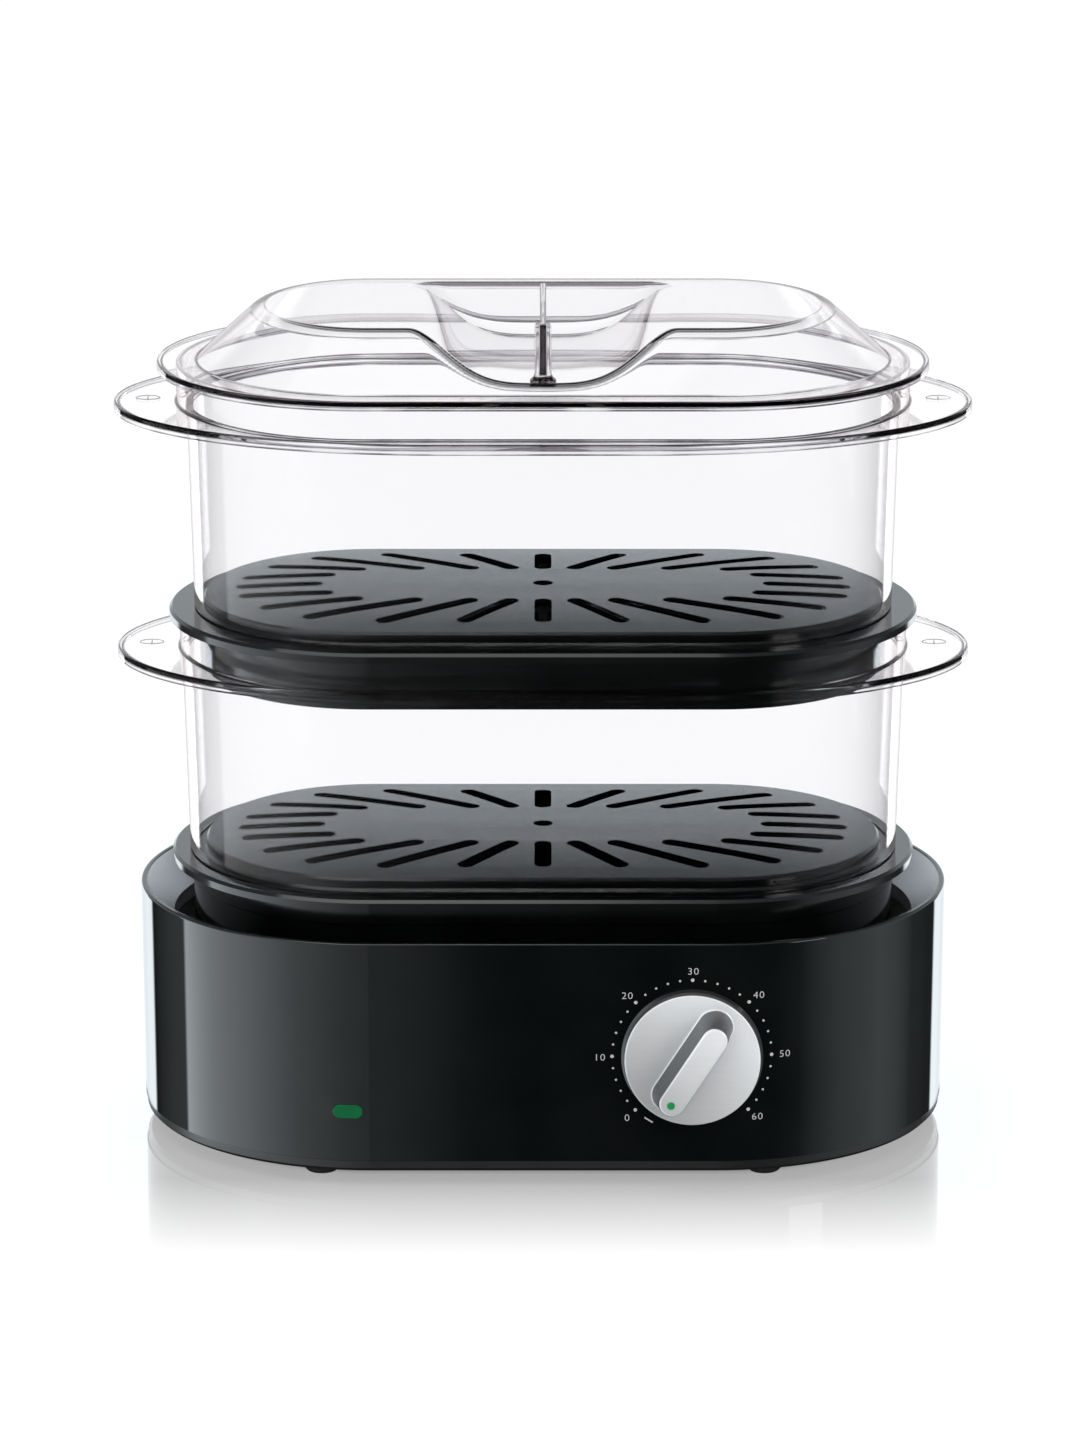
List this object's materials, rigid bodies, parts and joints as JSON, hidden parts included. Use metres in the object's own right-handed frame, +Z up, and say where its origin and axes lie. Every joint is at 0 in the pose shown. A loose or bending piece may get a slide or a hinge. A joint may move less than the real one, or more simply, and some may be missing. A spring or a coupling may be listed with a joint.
{
  "type": "electric food steamer",
  "caption": "Oval electric food steamer: clear stacking baskets on slotted trays, a domed lid with a grip rib, a drip tray and a water base with a timer knob.",
  "frame": {"origin": "on the table the feet stand on, under the middle of the oval outline that the base, trays, baskets and lid share", "axes": "+Z up; +X to the right as seen from the front, along the long way of the oval; the front with the knob faces -Y"},
  "size_m": [0.36, 0.2211, 0.3555],
  "materials": {
    "housing_gloss": "polished black ABS",
    "cover_black": "fine-grained black ABS",
    "foot_rubber": "moulded black rubber",
    "tank_plastic": "moulded dark polypropylene",
    "tray_black": "satin black polypropylene",
    "clear_plastic": "clear polycarbonate",
    "silver_cap": "satin silver",
    "knob_black": "polished black",
    "pointer_green": "plain green inlay",
    "lens_green": "clear green light guide",
    "stainless": "pressed stainless steel",
    "screw_steel": "zinc-plated steel",
    "element_steel": "heat-dulled steel tube",
    "silicone": "red-brown silicone",
    "timer_plastic": "natural nylon",
    "bell_steel": "pressed bell steel",
    "shaft_brass": "turned brass",
    "lamp_glass": "neon lamp tube",
    "bushing_rubber": "black rubber",
    "terminal_nylon": "white nylon",
    "wire_pvc": "heat-proof wire insulation"
  },
  "bodies": {
    "base": {"base_housing": "housing_gloss", "base_cover": "cover_black", "feet": "foot_rubber", "cover_screws": "screw_steel", "water_tank": "tank_plastic", "heater_plate": "stainless", "heater_gasket": "silicone", "heater_tube": "element_steel", "heater_clamp": "stainless", "heater_screws": "screw_steel", "thermostat": "terminal_nylon", "thermal_fuse": "stainless", "timer_bracket": "stainless", "timer_case": "timer_plastic", "timer_screws": "screw_steel", "timer_bell": "bell_steel", "indicator_lens": "lens_green", "lamp_holder": "terminal_nylon", "lamp_tube": "lamp_glass", "cord_bushing": "bushing_rubber", "terminal_block": "terminal_nylon", "wires": "wire_pvc"},
    "knob": {"timer_shaft": "shaft_brass", "knob_core": "knob_black", "knob_cap": "silver_cap", "knob_pointer": "pointer_green"},
    "drip_tray": {"drip_tray": "tray_black"},
    "lower_tray": {"lower_tray": "tray_black"},
    "lower_basket": {"lower_basket": "clear_plastic"},
    "upper_tray": {"upper_tray": "tray_black"},
    "upper_basket": {"upper_basket": "clear_plastic"},
    "lid": {"lid": "clear_plastic"}
  },
  "joints": [
    {"name": "knob_turn", "type": "hinge", "parent": "base", "child": "knob", "pos_m": [0.062, -0.1, 0.0571], "axis": [0, 1, 0], "range_deg": [0, 282.5]},
    {"name": "drip_tray_lift", "type": "slide", "parent": "base", "child": "drip_tray", "axis": [0, 0, 1], "range_m": [0, 0.06]},
    {"name": "lower_tray_lift", "type": "slide", "parent": "drip_tray", "child": "lower_tray", "axis": [0, 0, 1], "range_m": [0, 0.06]},
    {"name": "lower_basket_lift", "type": "slide", "parent": "lower_tray", "child": "lower_basket", "axis": [0, 0, 1], "range_m": [0, 0.06]},
    {"name": "upper_tray_lift", "type": "slide", "parent": "lower_basket", "child": "upper_tray", "axis": [0, 0, 1], "range_m": [0, 0.06]},
    {"name": "upper_basket_lift", "type": "slide", "parent": "upper_tray", "child": "upper_basket", "axis": [0, 0, 1], "range_m": [0, 0.06]},
    {"name": "lid_lift", "type": "slide", "parent": "upper_basket", "child": "lid", "axis": [0, 0, 1], "range_m": [0, 0.08]}
  ]
}
